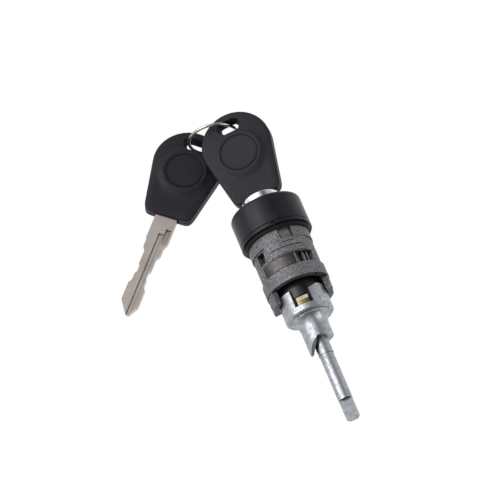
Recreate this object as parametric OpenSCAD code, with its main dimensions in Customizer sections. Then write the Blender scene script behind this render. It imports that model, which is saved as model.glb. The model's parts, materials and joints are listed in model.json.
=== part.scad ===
// Ignition lock for a steering column: a die-cast barrel with a turning rotor, eight plate
// tumblers and a drive shaft, shown with one key in the lock and a spare key on a wire ring.
// The lock axis lies along Y with the key at +Y and the drive shaft at -Y, and Z is up.
// Depths along the lock count rearwards from the rear face of the barrel.

/* [Barrel] */
// Outside diameter of the barrel
barrel_d = 26.5; // [25:0.1:29]
// Barrel length from the rear face to the seal behind the bezel
barrel_len = 22.4; // [21:0.1:26]
// Length of the full round band at the rear of the barrel
band_len = 5.4; // [4.5:0.1:6]
// How far the rest of the barrel lies below the rear band
band_step = 0.3; // [0.2:0.05:0.4]
// Length of the full round band behind the bezel
front_band_len = 4.8; // [4:0.1:6]
// How far the casting lies below the bands between the raised faces
relief = 0.7; // [0.4:0.05:1]
// Depth of the open recess in the rear of the barrel
recess_len = 6; // [5.5:0.1:7]
// Length of the two lugs behind the rear face
lug_len = 5.7; // [3:0.1:7]
// Half angle that each lug covers
lug_half = 27; // [18:1:32]
// Diameter of the two small holes in the rear face
rear_hole_d = 1.6; // [1:0.1:1.9]

/* [Bezel] */
// Wall of the bezel skirt around the barrel
bezel_wall = 1.75; // [1.4:0.05:2.5]
// Length of the bezel along the lock axis
bezel_len = 14.2; // [12:0.1:16]
// Thickness of the front wall of the bezel
bezel_face = 2.2; // [1.6:0.1:3]
// Rounding of the front edge of the bezel
bezel_round = 1.6; // [0.6:0.1:2]
// Thickness of the seal behind the bezel
seal_t = 1.4; // [0.8:0.1:2]
// How far the seal stands above the barrel
seal_out = 0.95; // [0.5:0.05:1.2]

/* [Rotor] */
// Diameter of the rotor in the barrel bore
rotor_d = 15; // [14.6:0.1:15.6]
// How far the bright nose stands out of the bezel
nose_out = 5.4; // [3.5:0.1:6]
// Wall of the bright nose cap
nose_wall = 0.55; // [0.4:0.05:0.8]
// Thickness of the rotor flange behind the nose
flange_t = 1.6; // [1.2:0.1:2]
// Width of the rotor flange beyond the rotor
flange_out = 2; // [1.5:0.1:2.6]
// Turn of the key from level as it is shown
rest_turn = 16; // [8:1:20]

/* [Tumblers] */
// Number of plate tumblers
wafer_count = 8;
// Spacing of the tumblers along the rotor
wafer_pitch = 2.5; // [2.3:0.05:2.6]
// Thickness of a tumbler plate
wafer_t = 1; // [0.8:0.05:1.1]
// Height of a tumbler plate
wafer_h = 6.4; // [5.8:0.1:6.8]
// Outside diameter of a tumbler spring
coil_d = 1.5; // [1.2:0.05:1.6]
// Wire diameter of a tumbler spring
coil_wire = 0.3; // [0.2:0.05:0.35]
// Turns of a tumbler spring
coil_turns = 5; // [4:1:7]

/* [Driver] */
// Outside diameter of the driver collar
collar_d = 20; // [19.6:0.1:20.4]
// Length of the driver collar
collar_len = 10.6; // [9.8:0.1:12]
// Gap from the rear face of the barrel to the front edge of the collar
collar_gap = 2.8; // [2:0.1:3.5]
// Thickness of the web that closes the collar
collar_web = 2.7; // [2.2:0.1:3.2]
// Diameter of the neck behind the collar
neck_d = 11.8; // [10:0.1:13]
// Length of the neck behind the collar
neck_len = 10; // [8:0.1:13]
// Length of the pointed finger beyond the neck
finger_len = 5.8; // [4:0.1:7]
// Diameter of the drive shaft
shaft_d = 5.8; // [5:0.1:7]
// Length of the drive shaft beyond the neck
shaft_len = 36; // [30:0.1:44]
// Length of the flat blade at the end of the shaft
tang_len = 8.7; // [6:0.1:11]
// Thickness of the flat blade at the end of the shaft
tang_t = 2.8; // [2:0.1:3.6]

/* [Keys] */
// Width of the key head
head_w = 29.5; // [27:0.1:32]
// Length of the key head
head_l = 40.5; // [39:0.1:42.5]
// Thickness of the key head
head_t = 8; // [7.6:0.1:8.6]
// Width of the key head where the blade leaves it
head_foot = 20; // [18:0.1:21.5]
// Diameter of the round inlay in each face
inlay_d = 15.4; // [13:0.1:16.5]
// Length of the ring hole across the key
hole_w = 11; // [10.4:0.1:11.4]
// Height of the ring hole along the key
hole_h = 6.6; // [6.2:0.1:7]
// Material left between the ring hole and the top of the head
hole_web = 2.7; // [2.2:0.1:3]
// Width of the plain shank of the blade
shank_w = 9.4; // [9:0.1:9.8]
// Length of the plain shank of the blade
shank_l = 11.5; // [10:0.1:12]
// Width of the cut part of the blade
blade_w = 8.6; // [8:0.1:8.8]
// Length of the cut part of the blade
blade_l = 35; // [33:0.1:36]
// Thickness of the blade
blade_t = 2.4; // [2.2:0.05:2.6]
// Depth of one step of the key cuts
cut_step = 0.42; // [0.3:0.02:0.46]

/* [Spare key and ring] */
// Wire diameter of the key ring
ring_wire = 1.3; // [1:0.05:1.5]
// How far the ring hole of the spare key lies to the left
spare_left = 14.6; // [12.5:0.1:15.5]
// How far the ring hole of the spare key lies forward
spare_fore = 2.5; // [1:0.1:4]
// Turn of the spare key away from the lock axis
spare_turn = 40; // [30:1:50]
// Lean of the ring out of the upright
ring_lean = 6; // [0:1:10]

/* [Fits] */
// Radial clearance of the turning rotor in the barrel
turn_fit = 0.05; // [0.02:0.01:0.1]
// Clearance around pieces that are pressed or clipped together
seat_fit = 0.03; // [0.02:0.01:0.06]
// Clearance on each side of the sliding key blade
key_fit = 0.1; // [0.05:0.01:0.15]
// Free space left between pieces that move past each other
run_gap = 0.3; // [0.2:0.05:0.4]

/* [Hidden] */
$fn = 64;

// lock depths
seal_front = -barrel_len - seal_t;
bezel_front = seal_front - bezel_len;
barrel_front = bezel_front + bezel_face;
nose_front = bezel_front - nose_out;
flange_back = barrel_front + flange_t;
recess_floor = -recess_len;
collar_front = collar_gap;
collar_back = collar_front + collar_len;
cup_floor = collar_back - collar_web;
neck_back = collar_back + neck_len;
shaft_back = neck_back + shaft_len;
rotor_back = cup_floor - run_gap;

// lock radii
barrel_r = barrel_d / 2;
face_r = barrel_r - band_step;
core_r = barrel_r - relief;
skirt_r = face_r + seat_fit;
bezel_r = barrel_r + bezel_wall;
rotor_r = rotor_d / 2;
bore_r = rotor_r + turn_fit;
flange_r = rotor_r + flange_out;
nose_r = rotor_r + nose_wall;
collar_r = collar_d / 2;
recess_r = collar_r + 0.5;
sleeve_wall = 1.1;
sleeve_r = rotor_r + seat_fit + sleeve_wall;
cup_r = sleeve_r + seat_fit;
neck_r = neck_d / 2;
shaft_r = shaft_d / 2;
broach_r = bore_r + 1.2;

// raised faces and windows of the barrel, as angles around the axis from the right
pad_from = 45;
pad_to = 129;
notch_from = 70;
notch_to = 95;
side_from = 136;
side_to = 156;
window_from = 42;
window_to = 152;
window_front = -band_len - 5.3;
window_back = -band_len - 0.1;
window_r = broach_r + 0.55;
step_line = -barrel_len + front_band_len;
bar_angle = 52;

// leaf spring
leaf_t = 0.5;
leaf_r = face_r;
leaf_w = 4.5;
leaf_foot = 148;
leaf_fold = 82;
leaf_inner = window_r + 1;

// tumblers
wafer_first = barrel_front + flange_t + 4.2;
wafer_slot = 0.1;
wafer_end_r = rotor_r - 0.15;
window_w = blade_w + 2 * key_fit + 0.4;
window_h = blade_t + 2 * key_fit + 0.3;
ear_h = 2;
ear_w = 1.3;
ear_x = coil_d + 0.9;
coil_y = wafer_h / 2 + ear_h / 2 + 0.1;

// driver
slot_from = 78 - rest_turn;
slot_to = 124 - rest_turn;
slot_mid = (slot_from + slot_to) / 2;
bar_t = 2.2;
bar_width = 5;
bar_back = rotor_back;
bar_front = bar_back - bar_t;
pad_t = 1.5;
pad_front = bar_front - pad_t - 0.1;
pad_h = 2.6;
pin_r = 0.9;
finger_at = 175 - rest_turn;
root_r = shaft_r + 0.2;
root_len = finger_len + 1.2;
blade_side = shaft_r - 0.2;
tang_turn = 7 - rest_turn;

// keys
head_half = head_t / 2;
crown_r = head_w / 2;
crown_v = head_l - crown_r;
hole_v = head_l - hole_web - hole_h / 2;
hole_r = hole_h / 2;
inlay_v = head_l * 0.53;
inlay_t = 0.6;
wall_half = head_half - 1.4;
tang_w = 8;
tang_l = 12;
chip = [6, 10, 2.6];
chip_v = inlay_v + 1.5;
key_len = shank_l + blade_l;
key_y = -nose_front + run_gap;
groove_w = 2;
groove_d = 0.65;
pocket_from = 5.5;
pocket_l = 8;
groove_u = 0.6;
groove_from = 8;
ward_depth = -key_y + groove_from + 0.8;
// cuts of both edges: where each starts and ends behind the shoulder, and its depth in steps
left_cuts = [[2, 4.2, 0], [6, 12.1, 2.6], [13, 15.7, 3.8], [16.8, 19.7, 2.2], [21.5, 29.2, 0]];
right_cuts = [[2.5, 6, 1.4], [7.7, 13.5, 4.2], [14.7, 17.3, 6], [18.1, 21.3, 4.8], [22.7, 30.5, 2.4]];

// ring and spare key
spare_drop = head_t + 0.76 * crown_r * sin(rest_turn) + run_gap;
key_hole = [0, key_y + hole_v, 0];
spare_hole = key_hole + [-spare_left, spare_fore, -spare_drop];
ring_from = key_hole + [1.5, 0.6, 0];
ring_to = spare_hole + [-1.2, 0.2, 0];
ring_span = ring_to - ring_from;
ring_mid = (ring_from + ring_to) / 2;
ring_sink = 0.8;
ring_r = sqrt(pow(norm(ring_span) / 2, 2) + pow(ring_sink, 2));

module in_lock() {
    rotate([90, 0, 0]) children();
}

module in_rotor() {
    in_lock() rotate([0, 0, rest_turn]) children();
}

module at_key() {
    translate([0, key_y, 0]) rotate([0, -rest_turn, 0]) children();
}

module at_spare() {
    translate(spare_hole) rotate([0, 0, -spare_turn]) translate([0, -hole_v, 0]) children();
}

// round solid between two depths
module drum(r, from, to) {
    translate([0, 0, from]) cylinder(r = r, h = to - from);
}

// flat wedge that covers the angles between two sides
module slice(from, to, reach) {
    mid = (from + to) / 2;
    polygon([
        [0, 0],
        reach * [cos(from), sin(from)],
        1.6 * reach * [cos(mid), sin(mid)],
        reach * [cos(to), sin(to)]
    ]);
}

// part of a tube between two angles and two depths
module sector(inner, outer, from, to, front, back) {
    translate([0, 0, front]) linear_extrude(back - front) intersection() {
        difference() {
            circle(outer);
            circle(inner);
        }
        slice(from, to, 2 * outer);
    }
}

module barrel_turned() {
    rotate_extrude() difference() {
        union() {
            translate([bore_r, barrel_front]) square([face_r - bore_r, lug_len - barrel_front]);
            translate([bore_r, -band_len]) square([barrel_r - bore_r, band_len]);
        }
        translate([0, barrel_front - 1])
            square([flange_r + run_gap, flange_back + turn_fit - barrel_front + 1]);
        translate([0, recess_floor]) square([recess_r, lug_len - recess_floor + 1]);
    }
}

// low faces between the two bands, which leave three raised faces standing
module barrel_relief() {
    front = step_line + 0.2;
    back = -band_len - 0.25;
    sector(core_r, barrel_r + 1, pad_to, 205, front, back);
    sector(core_r, barrel_r + 1, 252, 288, front, back);
    sector(core_r, barrel_r + 1, 335, 360 + pad_from, front, back);
    // step line between the front band and the raised face
    sector(core_r + 0.2, barrel_r + 1, pad_from - 2, notch_from + 3, step_line - 0.1, step_line + 0.4);
}

module barrel_windows() {
    // open notch behind the bezel
    sector(core_r - 0.5, barrel_r + 1, notch_from, notch_to, -barrel_len + 0.3, step_line);
    // pocket on the left side
    sector(window_r + 0.7, barrel_r + 1, side_from, side_to, step_line + 0.9, window_front - 1.2);
    // cross window for the leaf spring, with two bars left standing at its right end
    difference() {
        sector(window_r, barrel_r + 1, window_from, window_to, window_front, window_back);
        for (k = [0, 1])
            sector(window_r - 1, core_r - 0.9, bar_angle + 9 * k, bar_angle + 9 * k + 4,
                   window_front - 1, window_back + 1);
    }
    // locating groove along the underside
    translate([-2, -barrel_r - 1, -barrel_len - 0.2]) cube([4, 2, barrel_len + 1]);
    for (at = [53, 146])
        rotate([0, 0, at]) translate([(recess_r + barrel_r) / 2, 0, -3])
            cylinder(d = rear_hole_d, h = 4);
}

// space around the two lugs, and the step in the outer corner of each
module lug_gaps() {
    for (side = [0, 180])
        rotate([0, 0, side]) {
            sector(recess_r - 1, barrel_r + 1, lug_half, 180 - lug_half, 0, lug_len + 1);
            translate([barrel_r - 0.9, -1, lug_len * 0.55]) cube([3, barrel_r, lug_len]);
        }
}

module barrel() {
    color([0.42, 0.42, 0.43]) in_lock() difference() {
        barrel_turned();
        barrel_relief();
        barrel_windows();
        lug_gaps();
        // straight grooves that take the tumbler ends
        rotate([0, 0, rest_turn]) translate([-broach_r, -wafer_h / 2 - 0.2, flange_back - 0.5])
            cube([2 * broach_r, wafer_h + 0.4, recess_floor - flange_back + 1]);
    }
}

module bezel_profile() {
    mouth_r = nose_r + 0.6;
    difference() {
        union() {
            translate([mouth_r, bezel_front + bezel_round])
                square([bezel_r - mouth_r, bezel_len - bezel_round]);
            translate([mouth_r, bezel_front])
                square([bezel_r - bezel_round - mouth_r, bezel_len]);
            translate([bezel_r - bezel_round, bezel_front + bezel_round]) circle(bezel_round);
        }
        translate([0, barrel_front]) square([skirt_r, bezel_len]);
        // shallow ring step in the front face
        translate([mouth_r - 1, bezel_front - 1]) square([2.2, 1.7]);
        // fine line around the skirt
        translate([bezel_r, seal_front - 1.5]) rotate(45) square(0.35, center = true);
    }
}

module bezel_cap() {
    color([0.05, 0.05, 0.055]) in_lock() difference() {
        rotate_extrude() bezel_profile();
        // small notch in the rear edge
        rotate([0, 0, 97]) translate([bezel_r, 0, seal_front]) cube([0.9, 1.6, 2], center = true);
    }
}

module seal_ring() {
    color([0.03, 0.03, 0.03]) in_lock() rotate_extrude() difference() {
        translate([skirt_r, seal_front]) square([seal_out, seal_t]);
        translate([skirt_r + seal_out + 0.07, seal_front + seal_t / 2]) circle(seal_t / 5);
    }
}

module leaf_shape() {
    intersection() {
        difference() {
            circle(leaf_r);
            circle(leaf_r - leaf_t);
        }
        slice(leaf_fold, leaf_foot, 2 * barrel_r);
    }
    // foot that is bent into the casting
    rotate(leaf_foot) translate([leaf_inner, -leaf_t]) square([leaf_r - 0.02 - leaf_inner, leaf_t]);
    // folded end that latches in the column
    rotate(leaf_fold) translate([leaf_r - 0.03, 0.35]) rotate(222) square([2.6, leaf_t]);
}

module leaf_spring() {
    color([0.23, 0.17, 0.12]) in_lock()
        translate([0, 0, (window_front + window_back - leaf_w) / 2]) linear_extrude(leaf_w) leaf_shape();
}

// cross-section of the key passage with a ward in each face
module key_passage(width) {
    difference() {
        square([width + 2 * key_fit, blade_t + 2 * key_fit], center = true);
        for (face = [0, 180])
            rotate(face) translate([groove_u - groove_w / 2 + key_fit, blade_t / 2 + key_fit - 0.4])
                square([groove_w - 2 * key_fit, 1]);
    }
}

function wafer_depth(i) = wafer_first + wafer_pitch * i;

module rotor_slots() {
    for (i = [0 : wafer_count - 1])
        translate([0, 0, wafer_depth(i)]) rotate([0, 0, 180 * (i % 2)]) {
            cube([2 * rotor_r + 2, wafer_h + 2 * wafer_slot, wafer_t + 2 * wafer_slot], center = true);
            // pocket for the spring and the ear that it pushes
            translate([-coil_d - 1.2, 0, -coil_d / 2 - 0.1])
                cube([coil_d + 1.2 + ear_x + ear_w + 0.4, coil_y + coil_d / 2 + 0.2, coil_d + 0.2]);
        }
}

// plain opening for the shank, in front of the wards
module shank_mouth(to) {
    translate([-shank_w / 2 - key_fit, -blade_t / 2 - key_fit, nose_front - 1])
        cube([shank_w + 2 * key_fit, blade_t + 2 * key_fit, to - nose_front + 1]);
}

module rotor() {
    shank_depth = -key_y + shank_l + 1;
    color([0.5, 0.5, 0.5]) in_rotor() difference() {
        union() {
            drum(rotor_r - seat_fit, nose_front + nose_wall + seat_fit, barrel_front + turn_fit);
            drum(flange_r, barrel_front + turn_fit, flange_back);
            drum(rotor_r, flange_back - 0.1, rotor_back);
        }
        shank_mouth(ward_depth);
        translate([0, 0, ward_depth - 0.1]) linear_extrude(shank_depth - ward_depth + 0.1)
            key_passage(shank_w);
        translate([0, 0, ward_depth]) linear_extrude(-key_y + key_len + 0.5 - ward_depth)
            key_passage(blade_w);
        rotor_slots();
        rotate([0, 0, slot_mid - 90]) {
            translate([-bar_width / 2 - seat_fit, -rotor_r - 1, bar_front - seat_fit])
                cube([bar_width + 2 * seat_fit, 2 * rotor_r + 2, bar_t + 2]);
            translate([-bar_width / 2 - seat_fit, rotor_r - 1.8, pad_front - seat_fit])
                cube([bar_width + 2 * seat_fit, 3, pad_t + 1]);
        }
        driver_pin_holes(seat_fit);
    }
}

module nose_cap() {
    back = barrel_front;
    color([0.82, 0.82, 0.86]) in_rotor() difference() {
        rotate_extrude() difference() {
            union() {
                translate([0, nose_front + 0.8]) square([nose_r, back - nose_front - 0.8]);
                translate([0, nose_front]) square([nose_r - 0.8, 2]);
                translate([nose_r - 0.8, nose_front + 0.8]) circle(0.8);
            }
            translate([0, nose_front + nose_wall]) square([rotor_r, bezel_len + nose_out]);
        }
        shank_mouth(nose_front + 2);
    }
}

module wafer(i) {
    color([0.72, 0.6, 0.32]) in_rotor()
        translate([0, 0, wafer_depth(i) - wafer_t / 2]) rotate([0, 0, 180 * (i % 2)])
            linear_extrude(wafer_t) difference() {
                union() {
                    intersection() {
                        circle(wafer_end_r);
                        square([2 * rotor_r, wafer_h], center = true);
                    }
                    translate([ear_x, 0]) square([ear_w, wafer_h / 2 + ear_h]);
                }
                square([window_w, window_h], center = true);
            }
}

// round wire swept along a helix, as rings of points joined by triangles
module coil(length, diameter, wire, turns) {
    sides = 5;
    per_turn = 8;
    steps = turns * per_turn;
    mean_r = (diameter - wire) / 2;
    run = length - wire;
    points = [
        for (s = [0 : steps]) for (k = [0 : sides - 1])
            let (a = 360 * s / per_turn, b = 360 * k / sides, r = mean_r + wire / 2 * cos(b))
            [wire / 2 + run * s / steps + wire / 2 * sin(b), r * cos(a), r * sin(a)]
    ];
    side_faces = [
        for (s = [0 : steps - 1]) for (k = [0 : sides - 1])
            let (n = (k + 1) % sides, p = s * sides)
            for (face = [[p + k, p + n, p + sides + n], [p + k, p + sides + n, p + sides + k]])
            face
    ];
    first = [for (k = [sides - 1 : -1 : 0]) k];
    last = [for (k = [0 : sides - 1]) steps * sides + k];
    polyhedron(points, concat(side_faces, [first, last]), convexity = 6);
}

module wafer_springs() {
    coil_from = -coil_d - 1.1;
    color([0.7, 0.7, 0.72]) in_rotor()
        for (i = [0 : wafer_count - 1])
            translate([0, 0, wafer_depth(i)]) rotate([0, 0, 180 * (i % 2)])
                translate([coil_from, coil_y, 0])
                    coil(ear_x - coil_from - seat_fit, coil_d, coil_wire, coil_turns);
}

// two cross holes, one on each side, through the collar and into the rotor
module driver_pin_holes(extra) {
    rotate([0, 0, slot_mid])
        for (side = [90, 270])
            rotate([0, 0, side]) translate([3.4 - extra, 0, bar_front + bar_t / 2]) rotate([0, 90, 0])
                cylinder(r = pin_r + extra, h = collar_r + 1);
}

module drive_sleeve() {
    color([0.09, 0.09, 0.1]) in_rotor() difference() {
        drum(sleeve_r, recess_floor + run_gap, rotor_back);
        drum(rotor_r + seat_fit, recess_floor - 1, rotor_back + 1);
        sector(1, sleeve_r + 1, slot_from + 3, slot_to - 3, pad_front - 0.4, rotor_back + 1);
        rotate([0, 0, slot_mid - 90]) translate([-bar_width / 2 - seat_fit, -sleeve_r - 1, bar_front - seat_fit])
            cube([bar_width + 2 * seat_fit, sleeve_r, bar_t + 2]);
        driver_pin_holes(seat_fit);
    }
}

module driver_pins() {
    color([0.6, 0.6, 0.62]) in_rotor() intersection() {
        driver_pin_holes(0);
        drum(collar_r - 0.15, collar_front, collar_back);
    }
}

module drive_bar() {
    color([0.75, 0.6, 0.32]) in_rotor() intersection() {
        rotate([0, 0, slot_mid - 90]) translate([-bar_width / 2, -sleeve_r, bar_front])
            cube([bar_width, 2 * sleeve_r, bar_t - seat_fit]);
        drum(sleeve_r, bar_front - 1, bar_back + 1);
    }
}

module damper_pad() {
    color([0.88, 0.83, 0.72]) in_rotor() intersection() {
        rotate([0, 0, slot_mid - 90]) translate([-bar_width / 2, rotor_r - 1.8 + seat_fit, pad_front])
            cube([bar_width, pad_h, pad_t]);
        drum(sleeve_r - 0.1, pad_front - 1, bar_front);
    }
}

module driver_turned() {
    rotate_extrude() difference() {
        union() {
            translate([0, collar_front]) square([collar_r, collar_len]);
            translate([0, collar_back - 1]) square([neck_r, neck_len + finger_len + 1]);
            translate([0, neck_back]) square([shaft_r, shaft_len]);
            translate([0, neck_back]) square([root_r, root_len]);
        }
        translate([0, collar_front - 1]) square([cup_r, cup_floor - collar_front + 1]);
        // broken edges of the collar and the neck
        translate([collar_r, collar_back]) rotate(45) square(0.8, center = true);
        translate([collar_r, collar_front]) rotate(45) square(0.5, center = true);
        translate([shaft_r, shaft_back]) rotate(45) square(1.2, center = true);
    }
}

// space behind the neck that leaves one pointed finger standing beside the shaft
module neck_cut() {
    reach = neck_d;
    difference() {
        drum(reach, neck_back, neck_back + finger_len + 1);
        drum(root_r, neck_back - 1, neck_back + finger_len + 2);
        rotate([0, 0, finger_at]) intersection() {
            rotate([90, 0, 0]) linear_extrude(2 * reach, center = true) polygon([
                [shaft_r * 0.6, neck_back - 1],
                [neck_r + 1, neck_back - 1],
                [neck_r + 1, neck_back + finger_len],
                [neck_r * 0.82, neck_back + finger_len],
                [shaft_r * 0.9, neck_back + finger_len * 0.3]
            ]);
            rotate([90, 0, 90]) linear_extrude(reach) polygon([
                [-neck_r, neck_back - 1],
                [neck_r, neck_back - 1],
                [neck_r, neck_back],
                [0.5, neck_back + finger_len],
                [-0.5, neck_back + finger_len],
                [-neck_r, neck_back]
            ]);
        }
    }
}

module driver() {
    color([0.7, 0.7, 0.72]) in_rotor() difference() {
        driver_turned();
        neck_cut();
        // window of the collar, with one slanted corner
        sector(1, collar_r + 1, slot_from, slot_to, collar_front - 1, cup_floor);
        rotate([0, 0, slot_from]) translate([cup_r - 2, 0, collar_front - 1]) rotate([22, 0, 0])
            translate([0, -4, -1.2]) cube([6, 5, 4]);
        // stepped rear face that carries the column lock
        sector(neck_r + 0.6, collar_r - 1.2, 27 - rest_turn, 125 - rest_turn, collar_back - 0.8, collar_back + 1);
        // two flats that make the blade at the end
        for (face = [0, 180])
            rotate([0, 0, tang_turn + face]) {
                translate([-shaft_d, tang_t / 2, shaft_back - tang_len])
                    cube([2 * shaft_d, shaft_d, tang_len + 1]);
                translate([blade_side, -shaft_d, shaft_back - tang_len])
                    cube([shaft_d, 2 * shaft_d, tang_len + 1]);
            }
        driver_pin_holes(seat_fit);
    }
}

// outline of the key head: a round crown that narrows to the foot
module head_outline(inset) {
    r = crown_r - inset;
    foot = head_foot / 2 - inset;
    lean = atan((crown_r - head_foot / 2) / crown_v);
    translate([0, crown_v]) circle(r);
    polygon([
        [-foot, inset],
        [foot, inset],
        [r * cos(lean), crown_v - r * sin(lean)],
        [-r * cos(lean), crown_v - r * sin(lean)]
    ]);
}

// raised middle of a head face, drawn from the round inlay to the corners of the foot
module head_plateau() {
    hull() {
        translate([0, inlay_v]) circle(inlay_d / 2 + 2.2);
        translate([-head_foot / 2 + 2, 3]) square([head_foot - 4, 1]);
        translate([0, hole_v]) square([hole_w + 2, 1], center = true);
    }
}

module ring_hole() {
    straight = (hole_w - hole_h) / 2;
    translate([0, hole_v, -head_half - 1]) {
        for (side = [-1, 1])
            translate([side * straight, 0, 0]) cylinder(r = hole_r, h = head_t + 2);
        translate([-straight, -hole_r, 0]) cube([2 * straight, hole_h, head_t + 2]);
    }
}

// one half of the moulded head, lying on the parting plane
module head_half_shell() {
    difference() {
        hull() {
            linear_extrude(wall_half) head_outline(0);
            linear_extrude(wall_half + 0.55) head_outline(0.5);
            linear_extrude(head_half) head_plateau();
        }
        ring_hole();
        translate([0, inlay_v, head_half - inlay_t - seat_fit])
            cylinder(d = inlay_d + 2 * seat_fit, h = 2);
        // seat of the blade, open at the foot
        translate([-tang_w / 2 - seat_fit, -1, -1])
            cube([tang_w + 2 * seat_fit, tang_l + 1 + seat_fit, blade_t / 2 + 1 + seat_fit]);
        translate([-shank_w / 2 - 0.35, -1, -1]) cube([shank_w + 0.7, 2.2, blade_t / 2 + 1.35]);
        // pocket of the transponder
        translate([-chip[0] / 2 - seat_fit, chip_v - chip[1] / 2 + tang_l / 4, -1])
            cube([chip[0] + 2 * seat_fit, chip[1] + 2 * seat_fit, chip[2] / 2 + 1 + seat_fit]);
        // parting line around the rim
        linear_extrude(0.12) difference() {
            translate([-head_w, -1]) square([2 * head_w, head_l + 2]);
            head_outline(0.25);
        }
    }
}

module head_front() {
    color([0.07, 0.07, 0.075]) head_half_shell();
}

module head_back() {
    color([0.07, 0.07, 0.075]) mirror([0, 0, 1]) head_half_shell();
}

module inlay(side) {
    color([0.1, 0.1, 0.105]) translate([0, inlay_v, side * (head_half - inlay_t / 2)]) difference() {
        cylinder(d = inlay_d, h = inlay_t, center = true);
        // fine ring line inside the rim of the inlay
        translate([0, 0, side * inlay_t / 2]) difference() {
            cylinder(d = inlay_d - 0.5, h = 0.3, center = true);
            cylinder(d = inlay_d - 1, h = 0.4, center = true);
        }
    }
}

module transponder() {
    color([0.15, 0.15, 0.16])
        translate([0, chip_v + tang_l / 4 + seat_fit, 0]) cube(chip, center = true);
}

// one edge of the cut blade, as points from the shank to the tip
function cut_edge(cuts, side) = [
    for (cut = cuts)
        for (reach = [cut[0], cut[1]]) [side * (blade_w / 2 - cut_step * cut[2]), -shank_l - reach]
];
function flipped(list) = [for (i = [len(list) - 1 : -1 : 0]) list[i]];

module blade_outline() {
    polygon(concat(
        [[-tang_w / 2, tang_l], [-tang_w / 2, 1], [-shank_w / 2, 1], [-shank_w / 2, -shank_l]],
        [[-blade_w / 2, -shank_l - 0.7]],
        cut_edge(left_cuts, -1),
        [[-0.5, -key_len], [0.7, -key_len]],
        flipped(cut_edge(right_cuts, 1)),
        [[blade_w / 2, -shank_l - 0.7], [shank_w / 2, -shank_l]],
        [[shank_w / 2, 1], [tang_w / 2, 1], [tang_w / 2, tang_l]]
    ));
}

module blade() {
    color([0.72, 0.7, 0.64]) difference() {
        translate([0, 0, -blade_t / 2]) linear_extrude(blade_t) blade_outline();
        for (face = [0, 180])
            rotate([0, face, 0]) {
                // long groove that clears the ward of the key passage
                translate([groove_u - groove_w / 2, -key_len - 1, blade_t / 2 - groove_d])
                    cube([groove_w, key_len - groove_from + 1, 1]);
                // pocket beside the groove, with a floor that rises towards the tip
                translate([groove_u + groove_w / 2 + 0.3, -pocket_from, blade_t / 2 - 0.75]) rotate([-6, 0, 0])
                    translate([0, -pocket_l, 0]) cube([2.2, pocket_l, 2]);
            }
    }
}

module key_ring() {
    heading = atan2(ring_span[1], ring_span[0]);
    dip = asin(ring_span[2] / norm(ring_span));
    color([0.8, 0.8, 0.82])
        translate(ring_mid) rotate([0, 0, heading]) rotate([0, -dip, 0]) rotate([90 + ring_lean, 0, 0])
            translate([0, -ring_sink, 0]) rotate_extrude($fn = 96)
                translate([ring_r, 0]) circle(d = ring_wire);
}

barrel();
bezel_cap();
seal_ring();
leaf_spring();
rotor();
nose_cap();
for (i = [0 : wafer_count - 1])
    wafer(i);
wafer_springs();
drive_sleeve();
driver();
driver_pins();
drive_bar();
damper_pad();
at_key() blade();  // key_blade
at_key() head_front();  // key_head_front
at_key() head_back();  // key_head_back
at_key() inlay(1);  // key_inlay_front
at_key() inlay(-1);  // key_inlay_back
at_key() transponder();  // key_transponder
at_spare() blade();  // spare_blade
at_spare() head_front();  // spare_head_front
at_spare() head_back();  // spare_head_back
at_spare() inlay(1);  // spare_inlay_front
at_spare() inlay(-1);  // spare_inlay_back
at_spare() transponder();  // spare_transponder
key_ring();
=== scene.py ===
import json
import math
import bmesh
import bpy
from mathutils import Matrix, Vector, geometry


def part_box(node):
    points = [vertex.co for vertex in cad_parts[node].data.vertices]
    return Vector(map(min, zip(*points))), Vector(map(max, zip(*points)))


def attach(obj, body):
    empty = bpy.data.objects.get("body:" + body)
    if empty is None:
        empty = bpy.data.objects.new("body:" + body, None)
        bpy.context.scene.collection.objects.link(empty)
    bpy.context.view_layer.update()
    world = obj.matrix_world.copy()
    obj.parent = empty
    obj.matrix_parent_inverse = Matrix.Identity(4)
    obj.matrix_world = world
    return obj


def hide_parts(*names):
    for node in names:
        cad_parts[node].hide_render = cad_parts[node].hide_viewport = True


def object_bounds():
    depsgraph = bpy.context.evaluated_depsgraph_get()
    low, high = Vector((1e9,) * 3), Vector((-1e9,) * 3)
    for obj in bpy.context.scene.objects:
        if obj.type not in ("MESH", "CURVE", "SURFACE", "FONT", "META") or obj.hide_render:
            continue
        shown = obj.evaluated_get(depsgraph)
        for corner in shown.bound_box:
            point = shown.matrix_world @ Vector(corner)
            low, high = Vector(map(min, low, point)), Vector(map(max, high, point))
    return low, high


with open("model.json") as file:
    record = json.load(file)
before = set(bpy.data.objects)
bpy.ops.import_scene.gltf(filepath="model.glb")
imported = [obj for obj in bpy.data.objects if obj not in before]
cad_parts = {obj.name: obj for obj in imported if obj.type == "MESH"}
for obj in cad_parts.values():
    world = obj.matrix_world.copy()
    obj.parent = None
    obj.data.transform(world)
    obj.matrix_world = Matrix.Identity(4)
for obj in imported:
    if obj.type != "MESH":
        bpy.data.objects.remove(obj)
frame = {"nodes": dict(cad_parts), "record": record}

mm = 0.001
tiny = 1e-12
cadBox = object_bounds()
nodes = frame["nodes"]
scene = bpy.context.scene
print("frame loaded,", len(nodes), "nodes")


# camera, placed by its bearing round the lock
cameraSet = {
    "azimuth": -20.6,
    "elevation": 63.4,
    "distance": 900 * mm,
    "pxPerMm": 2.504,
    "imagePx": 500,
    "sensor": 36,
    "clip": (0.05, 20),
    "aim": (-12.76 * mm, 21.06 * mm, 4.7 * mm),
}


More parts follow.
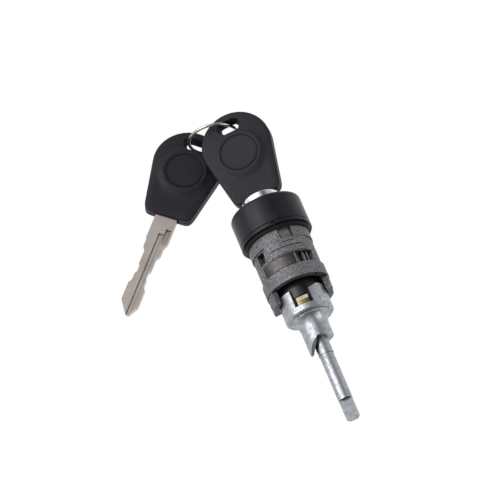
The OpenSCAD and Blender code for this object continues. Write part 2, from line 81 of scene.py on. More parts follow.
def makeCamera(c):
    az = math.radians(c["azimuth"])
    el = math.radians(c["elevation"])
    back = Vector((math.sin(az) * math.cos(el), -math.cos(az) * math.cos(el), math.sin(el)))
    right = Vector((math.cos(az), math.sin(az), 0))
    up = back.cross(right)
    perPx = mm / c["pxPerMm"]
    data = bpy.data.cameras.new("photoCamera")
    data.sensor_width = c["sensor"]
    data.lens = c["sensor"] * c["distance"] / (c["imagePx"] * perPx)
    data.clip_start, data.clip_end = c["clip"]
    cam = bpy.data.objects.new("photoCamera", data)
    spin = Matrix((right, up, back)).transposed().to_4x4()
    cam.matrix_world = Matrix.Translation(Vector(c["aim"]) + back * c["distance"]) @ spin
    scene.collection.objects.link(cam)
    scene.camera = cam


makeCamera(cameraSet)
print("camera set")


# helpers for shader trees
def newGroup(name, inputs, outputs):
    group = bpy.data.node_groups.new(name, "ShaderNodeTree")
    for side, sockets in (("INPUT", inputs), ("OUTPUT", outputs)):
        for label, kind in sockets.items():
            group.interface.new_socket(label, in_out=side, socket_type="NodeSocket" + kind)
    return group, group.nodes.new("NodeGroupInput"), group.nodes.new("NodeGroupOutput")


def groupNode(tree, group, values):
    n = tree.nodes.new("ShaderNodeGroup")
    n.node_tree = group
    for label, value in values.items():
        n.inputs[label].default_value = value
    return n


def noiseNode(tree, detail, rough):
    n = tree.nodes.new("ShaderNodeTexNoise")
    n.inputs["Detail"].default_value = detail
    n.inputs["Roughness"].default_value = rough
    return n


def rangeNode(tree, low, high, toLow, toHigh):
    n = tree.nodes.new("ShaderNodeMapRange")
    n.inputs["From Min"].default_value = low
    n.inputs["From Max"].default_value = high
    n.inputs["To Min"].default_value = toLow
    n.inputs["To Max"].default_value = toHigh
    return n


def mathNode(tree, operation):
    n = tree.nodes.new("ShaderNodeMath")
    n.operation = operation
    return n


def timesNode(tree, first, second):
    n = mathNode(tree, "MULTIPLY")
    tree.links.new(first, n.inputs[0])
    if isinstance(second, float):
        n.inputs[1].default_value = second
    else:
        tree.links.new(second, n.inputs[1])
    return n.outputs[0]


def mixColors(tree):
    n = tree.nodes.new("ShaderNodeMix")
    n.data_type = "RGBA"
    return n


# shared effects as shader groups; noise is given as detail and roughness
mottleSet = {
    "broad": (3, 0.55),
    "fine": (2, 0.6),
    "finer": 7.0,
    "fineShare": 0.4,
    "spread": (0.5, 0.9),
}


def mottleGroup(s):
    # two sizes of blotches that shade one colour towards another
    group, start, end = newGroup(
        "mottle",
        {"Dark": "Color", "Light": "Color", "Scale": "Float"},
        {"Color": "Color", "Mask": "Float"})
    co = group.nodes.new("ShaderNodeTexCoord")
    broad = noiseNode(group, *s["broad"])
    fine = noiseNode(group, *s["fine"])
    add = mathNode(group, "MULTIPLY_ADD")
    add.inputs[1].default_value = s["fineShare"]
    spread = rangeNode(group, *s["spread"], 0, 1)
    mix = mixColors(group)
    link = group.links.new
    link(co.outputs["Object"], broad.inputs["Vector"])
    link(co.outputs["Object"], fine.inputs["Vector"])
    link(start.outputs["Scale"], broad.inputs["Scale"])
    link(timesNode(group, start.outputs["Scale"], s["finer"]), fine.inputs["Scale"])
    link(fine.outputs["Fac"], add.inputs[0])
    link(broad.outputs["Fac"], add.inputs[2])
    link(add.outputs[0], spread.inputs["Value"])
    link(spread.outputs["Result"], mix.inputs["Factor"])
    link(start.outputs["Dark"], mix.inputs["A"])
    link(start.outputs["Light"], mix.inputs["B"])
    link(mix.outputs["Result"], end.inputs["Color"])
    link(spread.outputs["Result"], end.inputs["Mask"])
    return group


grainSet = {"noise": (2, 0.5)}


def grainGroup(s):
    # fine height pattern, drawn out along one axis if wanted
    group, start, end = newGroup(
        "grain",
        {"Scale": "Float", "Stretch": "Vector", "Turn": "Float"},
        {"Height": "Float"})
    co = group.nodes.new("ShaderNodeTexCoord")
    turn = group.nodes.new("ShaderNodeVectorRotate")
    turn.rotation_type = "Z_AXIS"
    pull = group.nodes.new("ShaderNodeVectorMath")
    pull.operation = "MULTIPLY"
    noise = noiseNode(group, *s["noise"])
    link = group.links.new
    link(co.outputs["Object"], turn.inputs["Vector"])
    link(start.outputs["Turn"], turn.inputs["Angle"])
    link(turn.outputs["Vector"], pull.inputs[0])
    link(start.outputs["Stretch"], pull.inputs[1])
    link(pull.outputs["Vector"], noise.inputs["Vector"])
    link(start.outputs["Scale"], noise.inputs["Scale"])
    link(noise.outputs["Fac"], end.inputs["Height"])
    return group


paintedLightSet = {
    "shadeSamples": 8,
    "softSamples": 4,
    # corner maps ambient occlusion to painted shade; edge and outward map the bevel and ambient
    # occlusion to a painted highlight on exposed edges
    "corner": (0.45, 0.95),
    "edge": (0.8, 0.97),
    "outward": (0.75, 0.95),
}


def paintedLightGroup(s):
    # painted shade in corners, where ambient occlusion finds them, and a painted highlight along
    # exposed rounded edges
    group, start, end = newGroup(
        "paintedLight",
        {"Reach": "Float", "Radius": "Float"},
        {"CornerShade": "Float", "EdgeHighlight": "Float"})
    shade = group.nodes.new("ShaderNodeAmbientOcclusion")
    shade.samples = s["shadeSamples"]
    soft = group.nodes.new("ShaderNodeBevel")
    soft.samples = s["softSamples"]
    flat = group.nodes.new("ShaderNodeNewGeometry")
    dot = group.nodes.new("ShaderNodeVectorMath")
    dot.operation = "DOT_PRODUCT"
    # painted shade, strongest where ambient occlusion is low
    corner = rangeNode(group, *s["corner"], 1, 0)
    # painted highlight on rounded edges, kept to those that ambient occlusion finds exposed
    edge = rangeNode(group, *s["edge"], 1, 0)
    outward = rangeNode(group, *s["outward"], 0, 1)
    link = group.links.new
    link(start.outputs["Reach"], shade.inputs["Distance"])
    link(start.outputs["Radius"], soft.inputs["Radius"])
    link(soft.outputs["Normal"], dot.inputs[0])
    link(flat.outputs["Normal"], dot.inputs[1])
    link(shade.outputs["AO"], corner.inputs["Value"])
    link(shade.outputs["AO"], outward.inputs["Value"])
    link(dot.outputs["Value"], edge.inputs["Value"])
    link(corner.outputs["Result"], end.inputs["CornerShade"])
    link(timesNode(group, edge.outputs["Result"], outward.outputs["Result"]), end.inputs["EdgeHighlight"])
    return group


mottle = mottleGroup(mottleSet)
grain = grainGroup(grainSet)
paintedLight = paintedLightGroup(paintedLightSet)
print("shader groups made")


def tintNode(tree, color, mask, share, tint):
    # colour moved towards a tint where the mask is on
    mix = mixColors(tree)
    mix.inputs["B"].default_value = (*tint, 1)
    tree.links.new(timesNode(tree, mask, share), mix.inputs["Factor"])
    tree.links.new(color, mix.inputs["A"])
    return mix.outputs["Result"]


# what a look has unless it says otherwise; reach, radius and deep are in mm
plainLook = {
    "shine": 0.5,
    "reach": 1.2,
    "radius": 0.2,
    # how much shade is painted into corners, and how dark that painted shade is
    "cornerShade": 0.4,
    "cornerShadeTone": 0.22,
    # how much highlight is painted along exposed edges, and how light that painted highlight is
    "edgeHighlight": 0.0,
    "edgeHighlightTone": 1.9,
    "stretch": (1, 1, 1),
    "turn": 0,
    "deep": 0.1,
}


def finish(name, given):
    look = {**plainLook, **given}
    material = bpy.data.materials.new(name)
    material.use_nodes = True
    tree = material.node_tree
    shader = tree.nodes["Principled BSDF"]
    shader.inputs["Metallic"].default_value = look["metal"]
    shader.inputs["Specular IOR Level"].default_value = look["shine"]
    blot = groupNode(tree, mottle, {
        "Dark": (*look["dark"], 1), "Light": (*look["light"], 1), "Scale": look["blotch"]})
    paintedLightNode = groupNode(tree, paintedLight, {"Reach": look["reach"] * mm, "Radius": look["radius"] * mm})
    fine = groupNode(tree, grain, {
        "Scale": look["grain"], "Stretch": look["stretch"], "Turn": math.radians(look["turn"])})
    # painted shade in corners and a painted highlight on exposed edges, both mixed into the base
    # colour
    cornerShadeColor = [look["cornerShadeTone"] * c for c in look["dark"]]
    edgeHighlightColor = [min(1.0, look["edgeHighlightTone"] * c) for c in look["light"]]
    cornerShaded = tintNode(tree, blot.outputs["Color"], paintedLightNode.outputs["CornerShade"], look["cornerShade"], cornerShadeColor)
    # painted highlight along exposed edges
    edgeHighlight = tintNode(tree, cornerShaded, paintedLightNode.outputs["EdgeHighlight"], look["edgeHighlight"], edgeHighlightColor)
    rough = rangeNode(tree, 0, 1, *look["rough"])
    bump = tree.nodes.new("ShaderNodeBump")
    bump.inputs["Strength"].default_value = look["bump"]
    bump.inputs["Distance"].default_value = look["deep"] * mm
    link = tree.links.new
    link(edgeHighlight, shader.inputs["Base Color"])
    link(blot.outputs["Mask"], rough.inputs["Value"])
    link(rough.outputs["Result"], shader.inputs["Roughness"])
    link(fine.outputs["Height"], bump.inputs["Height"])
    link(bump.outputs["Normal"], shader.inputs["Normal"])
    return material


keyTurn = 16      # roll of the key in the lock, in degrees
spareTurn = 40    # turn of the spare key from the lock axis, in degrees

nickel = {
    "dark": (0.5, 0.443, 0.41), "light": (0.66, 0.6, 0.56), "metal": 1, "blotch": 150,
    "rough": (0.42, 0.34), "grain": 2600, "bump": 0.2, "stretch": (1, 0.05, 1),
    "cornerShade": 0.95, "reach": 0.8, "edgeHighlight": 0.3, "radius": 0.12,
}
looks = {
    "barrelZinc": {
        "dark": (0.07, 0.072, 0.078), "light": (0.23, 0.235, 0.246), "metal": 0.55,
        "blotch": 1300, "rough": (0.62, 0.46), "grain": 2400, "bump": 0.9, "deep": 0.16,
        "cornerShade": 0.95, "reach": 1.6, "edgeHighlight": 0.6, "radius": 0.25},
    "driverZinc": {
        "dark": (0.26, 0.274, 0.296), "light": (0.46, 0.475, 0.497), "metal": 0.88,
        "blotch": 700, "rough": (0.46, 0.31), "grain": 1500, "bump": 0.14,
        "stretch": (1, 0.15, 1), "cornerShade": 0.85, "reach": 2.4, "edgeHighlight": 0.25},
    "rotorZinc": {
        "dark": (0.12, 0.12, 0.13), "light": (0.26, 0.26, 0.27), "metal": 0.8,
        "blotch": 300, "rough": (0.5, 0.4), "grain": 2000, "bump": 0.4, "cornerShade": 0.7},
    "bezelBlack": {
        "dark": (0.0105, 0.0085, 0.0135), "light": (0.0165, 0.0138, 0.0205), "metal": 0,
        "blotch": 120, "rough": (0.34, 0.28), "grain": 3200, "bump": 0.1, "shine": 0.2},
    "sealBlack": {
        "dark": (0.004, 0.004, 0.004), "light": (0.008, 0.008, 0.008), "metal": 0,
        "blotch": 300, "rough": (0.6, 0.5), "grain": 2600, "bump": 0.3, "shine": 0.25},
    "springBrown": {
        "dark": (0.05, 0.042, 0.043), "light": (0.105, 0.093, 0.092), "metal": 0.85,
        "blotch": 240, "rough": (0.42, 0.3), "grain": 1500, "bump": 0.2,
        "stretch": (1, 0.2, 1), "cornerShade": 0.7, "edgeHighlight": 0.4},
    "noseBright": {
        "dark": (0.66, 0.66, 0.71), "light": (0.82, 0.82, 0.87), "metal": 1,
        "blotch": 200, "rough": (0.2, 0.13), "grain": 1500, "bump": 0.05, "cornerShade": 0.6},
    "tumblerBrass": {
        "dark": (0.15, 0.112, 0.05), "light": (0.27, 0.208, 0.105), "metal": 1,
        "blotch": 300, "rough": (0.42, 0.3), "grain": 2000, "bump": 0.2, "cornerShade": 0.8},
    "wireSteel": {
        "dark": (0.4, 0.4, 0.41), "light": (0.62, 0.62, 0.63), "metal": 1,
        "blotch": 500, "rough": (0.35, 0.25), "grain": 3000, "bump": 0.1},
    "sleeveBlack": {
        "dark": (0.003, 0.003, 0.0035), "light": (0.009, 0.009, 0.01), "metal": 0,
        "blotch": 260, "rough": (0.3, 0.2), "grain": 2200, "bump": 0.2, "shine": 0.4},
    "padCream": {
        "dark": (0.5, 0.43, 0.33), "light": (0.72, 0.66, 0.55), "metal": 0,
        "blotch": 380, "rough": (0.55, 0.45), "grain": 2400, "bump": 0.2},
    "bladeNickel": nickel,
    "spareNickel": {**nickel, "turn": spareTurn},
    "headBlack": {
        "dark": (0.0095, 0.0082, 0.0125), "light": (0.0185, 0.0165, 0.0235), "metal": 0,
        "blotch": 1600, "rough": (0.54, 0.44), "grain": 3400, "bump": 0.6, "shine": 0.22,
        "cornerShade": 0.9, "reach": 1.8, "edgeHighlight": 0.6, "radius": 0.4},
    "inlayBlack": {
        "dark": (0.0105, 0.0092, 0.0138), "light": (0.019, 0.017, 0.0242), "metal": 0,
        "blotch": 1600, "rough": (0.52, 0.44), "grain": 3400, "bump": 0.45, "shine": 0.22,
        "cornerShade": 0.85},
    "chipBlack": {
        "dark": (0.02, 0.02, 0.022), "light": (0.04, 0.04, 0.044), "metal": 0,
        "blotch": 300, "rough": (0.6, 0.5), "grain": 2000, "bump": 0.2},
    "ringSteel": {
        "dark": (0.34, 0.315, 0.285), "light": (0.5, 0.465, 0.425), "metal": 1,
        "blotch": 160, "rough": (0.3, 0.24), "grain": 1200, "bump": 0.04, "cornerShade": 0.3},
}
finishes = {name: finish(name, look) for name, look in looks.items()}

wears = {
    "barrel": "barrelZinc", "bezel_cap": "bezelBlack", "seal_ring": "sealBlack",
    "leaf_spring": "springBrown", "rotor": "rotorZinc", "nose_cap": "noseBright",
    "wafer_springs": "wireSteel", "drive_sleeve": "sleeveBlack", "driver": "driverZinc",
    "driver_pins": "wireSteel", "drive_bar": "tumblerBrass", "damper_pad": "padCream",
    "key_blade": "bladeNickel", "spare_blade": "spareNickel", "key_ring": "ringSteel",
}
wearsByWord = {"wafer": "tumblerBrass", "inlay": "inlayBlack", "transponder": "chipBlack"}


def finishFor(node):
    if node in wears:
        return finishes[wears[node]]
    for word, look in wearsByWord.items():
        if word in node:
            return finishes[look]
    return finishes["headBlack"]


for name, obj in nodes.items():
    obj.data.materials.clear()
    obj.data.materials.append(finishFor(name))
print("finishes on", len(nodes), "nodes")


# helpers for meshes
def meshFrom(bm, name):
    mesh = bpy.data.meshes.new(name)
    bm.to_mesh(mesh)
    bm.free()
    return mesh


def linkObject(name, mesh):
    made = bpy.data.objects.new(name, mesh)
    scene.collection.objects.link(made)
    return made


def smoothPiece(name, mesh, look, sharp):
    mesh.shade_smooth()
    mesh.set_sharp_from_angle(angle=math.radians(sharp))
    mesh.materials.clear()
    mesh.materials.append(finishes[look])
    return linkObject(name, mesh)


def ringStack(bm, rings):
    # closed skin drawn out ring by ring, all with the same count of points
    ring = bmesh.ops.create_circle(bm, cap_ends=True, segments=len(rings[0]), radius=1)["verts"]
    for v, p in zip(ring, rings[0]):
        v.co = p
    edges = list({e for v in ring for e in v.link_edges})
    for points in rings[1:]:
        made = set(bmesh.ops.extrude_edge_only(bm, edges=edges)["geom"])
        ring = [next(e.other_vert(v) for e in v.link_edges if e.other_vert(v) in made)
                for v in ring]
        for v, p in zip(ring, points):
            v.co = p
        edges = [e for e in made
                 if isinstance(e, bmesh.types.BMEdge) and set(e.verts) <= set(ring)]
    bmesh.ops.contextual_create(bm, geom=edges)
    bmesh.ops.recalc_face_normals(bm, faces=bm.faces)


# key heads: each half is a rounded shell, built in rings round the middle of its inlay
headSet = {
    # outline, from the foot up
    "length": 40.5 * mm,
    "crown": 14.75 * mm,
    "foot": 20 * mm,
    "half": 4 * mm,
    "points": 160,
    "rimSoft": 5,
    # wall, from the parting line up to its round edge
    "parting": 0.12 * mm,
    "partingUp": 0.02 * mm,
    "partingRise": 1.6,
    "side": 2.4 * mm,
    "round": 1.0 * mm,
    "roundTurn": 76,
    "roundSteps": 8,
    "footRound": 0.5,
    # face, with the step round its plateau
    "raised": 9.9 * mm,
    "topInset": 2 * mm,
    "topFoot": 3 * mm,
    "topSide": 6.5 * mm,
    "topSoft": 3,
    "topLip": 0.3 * mm,
    "topSteps": 5,
    "dome": 0.15 * mm,
    "domeRise": 0.7,
    "plateau": 9.3 * mm,
    "plateauAt": (0.3, 0.6, 0.85, 1),
    "stepRun": 3.0 * mm,
    "stepSide": 0.45 * mm,
    "stepFoot": 1.1 * mm,
    # seat of the inlay; its edge is given as height from the face and extra radius
    "inlay": 7.7 * mm,
    "inlayUp": 0.53 * 40.5 * mm,
    "seat": 0.63 * mm,
    "seatGap": 0.2 * mm,
    "seatEdge": ((0, 0.25 * mm), (-0.08 * mm, 0.07 * mm), (-0.25 * mm, 0)),
    # ring hole, narrowest at its waist and flared at the face
    "holeWide": 11 * mm,
    "holeHigh": 6.6 * mm,
    "holeUp": 34.5 * mm,
    "holePoints": 64,
    "holeOver": 1 * mm,
    "waist": 1.8 * mm,
    "waistUp": 0.3 * mm,
    "waistLeft": 0.2,
    "flare": 0.7 * mm,
    "flareSteps": 6,
    "flareOver": 0.3 * mm,
    # mouth round the shank, seat of the tang and room for the transponder
    "shankWide": 9.4 * mm,
    "shankThick": 2.4 * mm,
    "mouthGap": 0.9 * mm,
    "mouthLong": 4.4 * mm,
    "tangWide": 8 * mm,
    "tangLong": 12 * mm,
    "tangGap": 0.06 * mm,
    "tangMore": 2 * mm,
    "chip": (6.1 * mm, 13.2 * mm, 2.7 * mm),
    "chipUp": 3 * mm,
    # where the ring runs in the hole of the spare key, from the middle of the hole
    "hang": (-1.2 * mm, 0.2 * mm, 0),
    "sharp": 38,
}


def circlePoints(up, r, count=96):
    turns = [2 * math.pi * i / count for i in range(count)]
    return [(r * math.cos(a), up + r * math.sin(a)) for a in turns]


def outlineOf(points):
    return [Vector(points[i]) for i in geometry.convex_hull_2d(points)]


def reachTo(outline, start, way):
    # distance from a place inside the outline to its edge
    found = []
    for a, b in zip(outline, outline[1:] + outline[:1]):
        out = Vector((b.y - a.y, a.x - b.x))
        if out.dot(way) > tiny:
            found.append((a - start).dot(out) / out.dot(way))
    return min(f for f in found if f > 0)


def softened(row, times):
    for n in range(times):
        row = [(row[i - 1] + 2 * row[i] + row[(i + 1) % len(row)]) / 4 for i in range(len(row))]
    return row


def headOutlines(h, ways):
    # reach of the rim and of the raised face, from the middle of the inlay
    middle = Vector((0, h["inlayUp"]))
    rimFoot = h["foot"] / 2
    topFoot = rimFoot - h["topInset"]
    rimLine = outlineOf(
        circlePoints(h["length"] - h["crown"], h["crown"])
        + [(-rimFoot, 0), (rimFoot, 0)])
    topLine = outlineOf(
        circlePoints(h["inlayUp"], h["raised"])
        + [(-topFoot, h["topFoot"]), (topFoot, h["topFoot"])]
        + [(-h["topSide"], h["holeUp"]), (h["topSide"], h["holeUp"])])
    rim = softened([reachTo(rimLine, middle, w) for w in ways], h["rimSoft"])
    top = softened([reachTo(topLine, middle, w) for w in ways], h["topSoft"])
    return rim, top


def headLevels(h, ways):
    # height and reach of each ring, from the parting plane up to the floor of the inlay seat
    rim, top = headOutlines(h, ways)
    groove = [r - 2 * h["parting"] for r in rim]
    levels = [(h["partingUp"], groove), (h["parting"], groove),
              (h["partingRise"] * h["parting"], rim), (h["side"], rim)]
    for n in range(1, h["roundSteps"] + 1):
        turn = math.radians(h["roundTurn"]) * n / h["roundSteps"]
        inset = h["round"] * (1 - math.cos(turn))
        levels.append((h["side"] + h["round"] * math.sin(turn),
                       [r - inset * (1 - h["footRound"] * max(0, -w.y))
                        for r, w in zip(rim, ways)]))
    edgeUp, edge = levels[-1]
    for n in range(1, h["topSteps"] + 1):
        t = n / h["topSteps"]
        rise = (h["half"] - h["dome"] - edgeUp) * math.sin(t * math.pi / 2)
        levels.append((edgeUp + rise,
                       [r + (min(f, r - h["topLip"]) - r) * t for r, f in zip(edge, top)]))
    inner = levels[-1][1]
    for t in h["plateauAt"]:
        levels.append((h["half"] - h["dome"] * (1 - h["domeRise"] * t),
                       [f + (h["plateau"] - f) * t for f in inner]))
    seatR = h["inlay"] + h["seatGap"]
    for up, wider in (*h["seatEdge"], (-h["seat"], 0)):
        levels.append((h["half"] + up, [seatR + wider] * h["points"]))
    return levels


def facePoint(h, way, reach, up):
    # the face steps down outside the plateau, most of all towards the foot
    t = min(1, max(0, reach - h["plateau"]) / h["stepRun"])
    deep = h["stepSide"] + (h["stepFoot"] - h["stepSide"]) * max(0, -way.y)
    step = deep * math.sin(t * math.pi / 2)
    return (way.x * reach, h["inlayUp"] + way.y * reach, up - step * min(1, up / h["half"]))


def headShell(h):
    turns = [2 * math.pi * i / h["points"] for i in range(h["points"])]
    ways = [Vector((math.sin(a), math.cos(a))) for a in turns]
    bm = bmesh.new()
    ringStack(bm, [[facePoint(h, w, r, up) for w, r in zip(ways, reaches)]
                   for up, reaches in headLevels(h, ways)])
    return meshFrom(bm, "headShell")


def slotCutter(h):
    # oblong pin that flares at the top, which rounds the rim of the ring hole
    flare, top = h["flare"], h["half"]
    left = h["waistLeft"] * h["waist"]
    levels = [(-h["holeOver"], -h["waist"]), (h["waistUp"], -h["waist"]), (top - flare, -left)]
    for n in range(1, h["flareSteps"] + 1):
        turn = math.radians(90 * n / h["flareSteps"])
        levels.append((top - flare + flare * math.sin(turn),
                       flare * (1 - math.cos(turn)) - left))
    levels.append((top + h["holeOver"], flare + h["flareOver"]))
    straight = (h["holeWide"] - h["holeHigh"]) / 2
    rings = []
    for up, grow in levels:
        r = h["holeHigh"] / 2 + grow
        ring = []
        for i in range(h["holePoints"]):
            a = 2 * math.pi * (i + 0.5) / h["holePoints"]
            side = straight if math.cos(a) > 0 else -straight
            ring.append((side + r * math.cos(a), h["holeUp"] + r * math.sin(a), up))
        rings.append(ring)
    bm = bmesh.new()
    ringStack(bm, rings)
    return meshFrom(bm, "slotCutter")


def boxCutter(size, up):
    bm = bmesh.new()
    bmesh.ops.create_cube(bm, size=1)
    bmesh.ops.scale(bm, verts=bm.verts, vec=size)
    bmesh.ops.translate(bm, verts=bm.verts, vec=(0, up, 0))
    return meshFrom(bm, "boxCutter")


def cutHead(h):
    # shell with its ring hole, the mouth round the shank and the seat of the blade
    body = linkObject("headBlank", headShell(h))
    mouth = (h["shankWide"] + h["mouthGap"], h["mouthLong"], h["shankThick"] + h["mouthGap"])
    tang = (h["tangWide"] + h["tangGap"], h["tangLong"] + h["tangMore"],
            h["shankThick"] + h["tangGap"])
    tangUp = h["tangLong"] / 2 - h["tangMore"] / 2
    cutters = [slotCutter(h), boxCutter(mouth, 0), boxCutter(tang, tangUp),
               boxCutter(h["chip"], h["inlayUp"] + h["chipUp"])]
    tools = [linkObject("cutter", mesh) for mesh in cutters]
    for tool in tools:
        cut = body.modifiers.new("cut", "BOOLEAN")
        cut.operation = "DIFFERENCE"
        cut.solver = "MANIFOLD"
        cut.object = tool
    graph = bpy.context.evaluated_depsgraph_get()
    done = bpy.data.meshes.new_from_object(body.evaluated_get(graph))
    for o in tools + [body]:
        bpy.data.objects.remove(o)
    return done


def placeHead(h, half, name, node, place, body):
    mesh = half.copy()
    mesh.transform(place)
    piece = smoothPiece(name, mesh, "headBlack", h["sharp"])
    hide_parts(node)
    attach(piece, body)


def makeHeads(h):
    half = cutHead(h)
    print("head half has", len(half.polygons), "faces")
    over = Matrix.Rotation(math.pi, 4, "Y")
    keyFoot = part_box("key_head_front")[0][1]
    inLock = (Matrix.Translation((0, keyFoot, 0))
              @ Matrix.Rotation(math.radians(-keyTurn), 4, "Y"))
    joints = {j["name"]: j for j in frame["record"]["behaviour"]["joints"]}
    spareHole = Vector(joints["spare_swing"]["pos_m"]) - Vector(h["hang"])
    onRing = (Matrix.Translation(spareHole)
              @ Matrix.Rotation(math.radians(-spareTurn), 4, "Z")
              @ Matrix.Translation((0, -h["holeUp"], 0)))
    placeHead(h, half, "keyHeadFront", "key_head_front", inLock, "key")
    placeHead(h, half, "keyHeadBack", "key_head_back", inLock @ over, "key")
    placeHead(h, half, "spareHeadFront", "spare_head_front", onRing, "spare_key")
    placeHead(h, half, "spareHeadBack", "spare_head_back", onRing @ over, "spare_key")


makeHeads(headSet)
print("key heads made")


# swept flare that runs from the collar of the driver into its neck
flareSet = {
    "bore": 3.2 * mm,
    "rim": 8.5 * mm,
    "neck": 5.85 * mm,
    "from": -13.0 * mm,
    "lip": -13.45 * mm,
    "to": -19.5 * mm,
    "steps": 14,
    "turns": 96,
    "sharp": 30,
}


def flareRing(f):
    places = [(f["bore"], f["from"]), (f["rim"], f["from"]), (f["rim"], f["lip"])]
    for n in range(1, f["steps"] + 1):
        a = math.radians(90) * n / f["steps"]
        places.append((f["rim"] - (f["rim"] - f["neck"]) * math.sin(a),
                       f["lip"] + (f["to"] - f["lip"]) * (1 - math.cos(a))))
    places.append((f["bore"], f["to"]))
    bm = bmesh.new()
    line = [bm.verts.new((r, y, 0)) for r, y in places]
    edges = [bm.edges.new(pair) for pair in zip(line, line[1:] + line[:1])]
    bmesh.ops.spin(bm, geom=line + edges, cent=(0, 0, 0), axis=(0, 1, 0), angle=2 * math.pi,
                   steps=f["turns"], use_merge=True)
    bmesh.ops.recalc_face_normals(bm, faces=bm.faces)
    return meshFrom(bm, "flareRing")


def makeFlare(f):
    piece = smoothPiece("driverFlare", flareRing(f), "driverZinc", f["sharp"])
    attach(piece, "rotor_set")


makeFlare(flareSet)
print("driver flare made")


# low cast panels on the top face of the barrel
panelSet = {
    "low": 12.8 * mm,
    "high": 13.22 * mm,
    "soft": 0.06,
    "softSteps": 2,
    "cuts": 20,
    "sharp": 35,
    # each plate from angle to angle, counted from the right, and from y to y in mm
    "plates": [(54, 124, 11.2, 13.4), (99, 124, 14.0, 17.0), (58, 97, 14.0, 15.6),
               (72, 94, 16.1, 17.1)],
}


def bentPlate(p, plate):
    # a cube of side 1, bent round the barrel
    fromA, toA, fromY, toY = plate
    bm = bmesh.new()
    bmesh.ops.create_cube(bm, size=1)
    rims = [e for e in bm.edges if all(v.co.z > 0 for v in e.verts)]
    bmesh.ops.bevel(bm, geom=rims, offset=p["soft"], affect="EDGES", segments=p["softSteps"],
                    profile=0.5, material=-1)
    longEdges = [e for e in bm.edges if abs(e.verts[0].co.x - e.verts[1].co.x) > 0.5]
    bmesh.ops.subdivide_edges(bm, edges=longEdges, cuts=p["cuts"], use_grid_fill=True)
    for v in bm.verts:
        a = math.radians(fromA + (toA - fromA) * (v.co.x + 0.5))
        y = (fromY + (toY - fromY) * (v.co.y + 0.5)) * mm
        r = p["low"] + (p["high"] - p["low"]) * (v.co.z + 0.5)
        v.co = (r * math.cos(a), y, r * math.sin(a))
    bmesh.ops.recalc_face_normals(bm, faces=bm.faces)
    return bm


def makePanels(p):
    whole = bmesh.new()
    for plate in p["plates"]:
        part = meshFrom(bentPlate(p, plate), "plate")
        whole.from_mesh(part)
        bpy.data.meshes.remove(part)
    piece = smoothPiece("castPanels", meshFrom(whole, "castPanels"), "barrelZinc", p["sharp"])
    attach(piece, "lock_body")


makePanels(panelSet)
print("cast panels made")


# floor, soft lamps and a white surround
stageSet = {
    "floorGap": 2 * mm,
    "floorSize": 4.0,
    "floorTone": (0.3, 0.3, 0.3),
    "floorRough": 0.9,
    "shadow": 0.09,
    "white": 1.075,
    # share of the light that comes from the front, and where along Y it fades in
    "front": 0.12,
    "frontFade": (-0.6, 0.2),
    # heights between which the white wall gives way to the sky
    "wall": (0.15, 0.35),
    # brightness of the sky by its tilt to the side, in degrees
    "sky": [(-90, 0.35), (-48, 0.5), (-27, 1.7), (-12, 1.5), (3, 0.6), (17, 0.12), (30, 0.2),
            (48, 0.6), (90, 0.5)],
}
lampSet = {
    "mainLamp": {"place": (-0.75, 0.3, 0.65), "size": 0.9, "watts": 6},
    "fillLamp": {"place": (0.7, -0.2, 0.6), "size": 0.6, "watts": 3},
}


def shownTo(tree):
    # on for the eye, for gloss and for glass, which all show the white surround
    seen = tree.nodes.new("ShaderNodeLightPath")
    last = seen.outputs["Is Camera Ray"]
    for kind in ("Is Glossy Ray", "Is Transmission Ray"):
        either = mathNode(tree, "MAXIMUM")
        tree.links.new(last, either.inputs[0])
        tree.links.new(seen.outputs[kind], either.inputs[1])
        last = either.outputs[0]
    return last


def floorFinish(s):
    material = bpy.data.materials.new("floorWhite")
    material.use_nodes = True
    tree = material.node_tree
    shader = tree.nodes["Principled BSDF"]
    shader.inputs["Base Color"].default_value = (*s["floorTone"], 1)
    shader.inputs["Roughness"].default_value = s["floorRough"]
    glow = tree.nodes.new("ShaderNodeEmission")
    glow.inputs["Strength"].default_value = s["white"]
    mix = tree.nodes.new("ShaderNodeMixShader")
    link = tree.links.new
    link(timesNode(tree, shownTo(tree), 1 - s["shadow"]), mix.inputs["Fac"])
    link(shader.outputs[0], mix.inputs[1])
    link(glow.outputs[0], mix.inputs[2])
    link(mix.outputs[0], tree.nodes["Material Output"].inputs["Surface"])
    return material


def whiteFloor(s):
    # it lies below the keys at every turn of the lock
    far = [max(abs(corner[axis]) for corner in cadBox) for axis in (0, 2)]
    low = -math.hypot(*far) - s["floorGap"]
    bm = bmesh.new()
    bmesh.ops.create_grid(bm, x_segments=1, y_segments=1, size=s["floorSize"] / 2)
    bmesh.ops.translate(bm, verts=bm.verts, vec=(0, 0, low))
    mesh = meshFrom(bm, "floor")
    mesh.materials.append(floorFinish(s))
    floor = linkObject("floor", mesh)


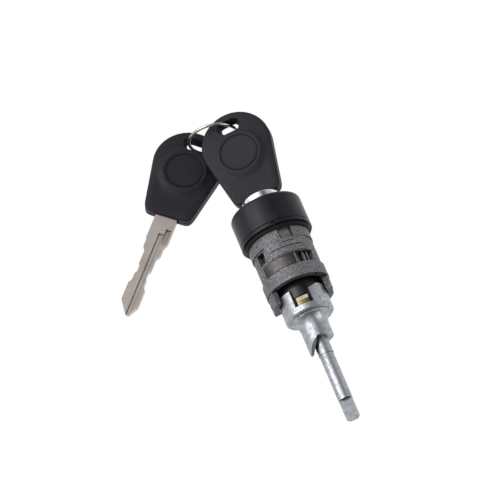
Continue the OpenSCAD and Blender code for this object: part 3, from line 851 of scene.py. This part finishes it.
def softLamp(name, lamp):
    data = bpy.data.lights.new(name, "AREA")
    data.shape = "DISK"
    data.size = lamp["size"]
    data.energy = lamp["watts"]
    place = Vector(lamp["place"])
    aim = (-place).to_track_quat("-Z", "Y").to_matrix().to_4x4()
    linkObject(name, data).matrix_world = Matrix.Translation(place) @ aim


def whiteWorld(s):
    # white low down, a soft box and a dark card overhead, and less light from the front
    world = bpy.data.worlds.new("surround")
    world.use_nodes = True
    tree = world.node_tree
    background = tree.nodes["Background"]
    background.inputs["Color"].default_value = (1, 1, 1, 1)
    way = tree.nodes.new("ShaderNodeTexCoord")
    parts = tree.nodes.new("ShaderNodeSeparateXYZ")
    lean = mathNode(tree, "ARCTAN2")
    along = rangeNode(tree, -math.pi / 2, math.pi / 2, 0, 1)
    ramp = tree.nodes.new("ShaderNodeValToRGB")
    ramp.color_ramp.interpolation = "EASE"
    stops = ramp.color_ramp.elements
    while len(stops) < len(s["sky"]):
        stops.new(0.5)
    for stop, (tilt, level) in zip(stops, s["sky"]):
        stop.position = tilt / 180 + 0.5
        stop.color = (level, level, level, 1)
    dim = rangeNode(tree, *s["frontFade"], s["front"], 1)
    low = rangeNode(tree, *s["wall"], 1, 0)
    pick = tree.nodes.new("ShaderNodeMix")
    pick.inputs["B"].default_value = 1.0
    link = tree.links.new
    link(way.outputs["Generated"], parts.inputs["Vector"])
    link(parts.outputs["X"], lean.inputs[0])
    link(parts.outputs["Z"], lean.inputs[1])
    link(lean.outputs[0], along.inputs["Value"])
    link(along.outputs["Result"], ramp.inputs["Fac"])
    link(parts.outputs["Y"], dim.inputs["Value"])
    link(parts.outputs["Z"], low.inputs["Value"])
    link(timesNode(tree, shownTo(tree), low.outputs["Result"]), pick.inputs["Factor"])
    link(timesNode(tree, ramp.outputs["Color"], dim.outputs["Result"]), pick.inputs["A"])
    link(pick.outputs["Result"], background.inputs["Strength"])
    scene.world = world


whiteFloor(stageSet)
whiteWorld(stageSet)
for name, lamp in lampSet.items():
    softLamp(name, lamp)
print("stage and lamps set")

scene.view_settings.view_transform = "Standard"
